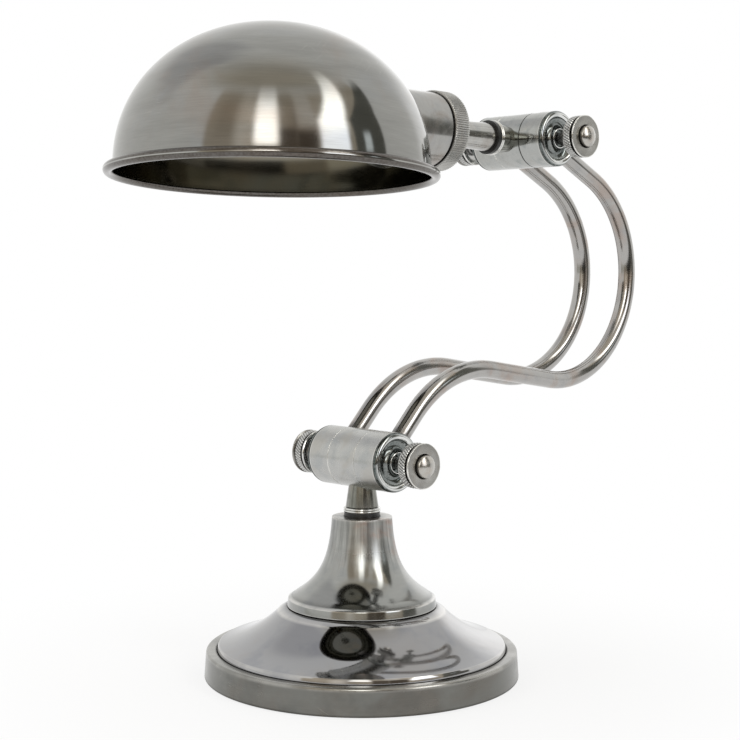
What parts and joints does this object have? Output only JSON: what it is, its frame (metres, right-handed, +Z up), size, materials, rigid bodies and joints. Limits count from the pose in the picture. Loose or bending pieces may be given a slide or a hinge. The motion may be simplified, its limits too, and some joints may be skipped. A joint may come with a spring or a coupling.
{
  "type": "dome shade desk lamp",
  "caption": "Desk lamp with a domed metal shade on a knurled neck, twin S-bent tube arms between friction clamp hinges with thumb nuts, and a trumpet neck on a round weighted foot.",
  "frame": {"origin": "centre of the foot's underside, on the table", "axes": "+Z up, clamp rods along Y, shade towards -X and arms bowed towards +X"},
  "size_m": [0.4215, 0.2008, 0.4017],
  "materials": {
    "aged_nickel": "aged brushed nickel plate with a warm patina",
    "satin_nickel": "satin aged nickel plate",
    "polished_nickel": "polished aged nickel plate",
    "shade_nickel": "polished antique nickel, darker in the middle",
    "zinc_steel": "plain zinc-plated steel",
    "weight_iron": "painted black",
    "brass_tube": "plain turned brass",
    "black_plastic": "black moulded",
    "black_rubber": "black",
    "felt": "dark green felt"
  },
  "bodies": {
    "base": {"foot_ring": "aged_nickel", "base_weight": "weight_iron", "felt_pad": "felt", "base_cover": "polished_nickel", "base_neck": "polished_nickel", "base_nipple": "brass_tube", "base_washer": "zinc_steel", "base_nut": "brass_tube", "cord_bush": "black_rubber", "base_spindle": "black_plastic", "base_spindle_clip": "zinc_steel", "base_friction_washer": "brass_tube"},
    "lower_post": {"lower_centre_knuckle": "satin_nickel", "lower_bead_ring": "polished_nickel", "lower_clamp_rod": "zinc_steel", "lower_rod_buttons": "polished_nickel"},
    "arms": {"lower_knuckle_near": "satin_nickel", "lower_knuckle_far": "satin_nickel", "lower_cup_near": "polished_nickel", "lower_cup_far": "polished_nickel", "arm_near": "aged_nickel", "arm_far": "aged_nickel", "upper_knuckle_near": "satin_nickel", "upper_knuckle_far": "satin_nickel", "upper_cup_near": "polished_nickel", "upper_cup_far": "polished_nickel"},
    "lower_nut_near": {"lower_nut_near": "aged_nickel"},
    "lower_nut_far": {"lower_nut_far": "aged_nickel"},
    "upper_post": {"upper_centre_knuckle": "satin_nickel", "upper_bead_ring": "polished_nickel", "upper_clamp_rod": "zinc_steel", "upper_rod_buttons": "polished_nickel"},
    "upper_nut_near": {"upper_nut_near": "aged_nickel"},
    "upper_nut_far": {"upper_nut_far": "aged_nickel"},
    "head": {"head_spindle": "black_plastic", "head_spindle_clip": "zinc_steel", "head_friction_washer": "brass_tube", "head_stem": "satin_nickel", "head_nipple": "brass_tube", "knurled_cap": "aged_nickel", "shade_neck": "aged_nickel", "shade_dome": "shade_nickel", "holder_cap": "black_plastic", "holder_body": "black_plastic", "holder_shell": "brass_tube", "holder_contact": "brass_tube"}
  },
  "joints": [
    {"name": "base_swivel", "type": "hinge", "parent": "base", "child": "lower_post", "pos_m": [0, 0, 0.1014], "axis": [0, 0, 1], "range_deg": [-170, 170]},
    {"name": "arm_tilt", "type": "hinge", "parent": "lower_post", "child": "arms", "pos_m": [0, 0, 0.1383], "axis": [0, 1, 0], "range_deg": [-35, 35]},
    {"name": "shade_tilt", "type": "hinge", "parent": "arms", "child": "upper_post", "pos_m": [0.15066, 0, 0.34702], "axis": [0, 1, 0], "range_deg": [-35, 60]},
    {"name": "shade_roll", "type": "hinge", "parent": "upper_post", "child": "head", "pos_m": [0.15066, 0, 0.34702], "axis": [-0.9999, 0, 0.0166], "range_deg": [-170, 170]},
    {"name": "lower_nut_near_turn", "type": "hinge", "parent": "lower_post", "child": "lower_nut_near", "pos_m": [0, -0.05, 0.1383], "axis": [0, -1, 0], "range_deg": [0, 360]},
    {"name": "lower_nut_far_turn", "type": "hinge", "parent": "lower_post", "child": "lower_nut_far", "pos_m": [0, 0.05, 0.1383], "axis": [0, 1, 0], "range_deg": [0, 360]},
    {"name": "upper_nut_near_turn", "type": "hinge", "parent": "upper_post", "child": "upper_nut_near", "pos_m": [0.15066, -0.05, 0.34702], "axis": [0, -1, 0], "range_deg": [0, 360]},
    {"name": "upper_nut_far_turn", "type": "hinge", "parent": "upper_post", "child": "upper_nut_far", "pos_m": [0.15066, 0.05, 0.34702], "axis": [0, 1, 0], "range_deg": [0, 360]}
  ]
}
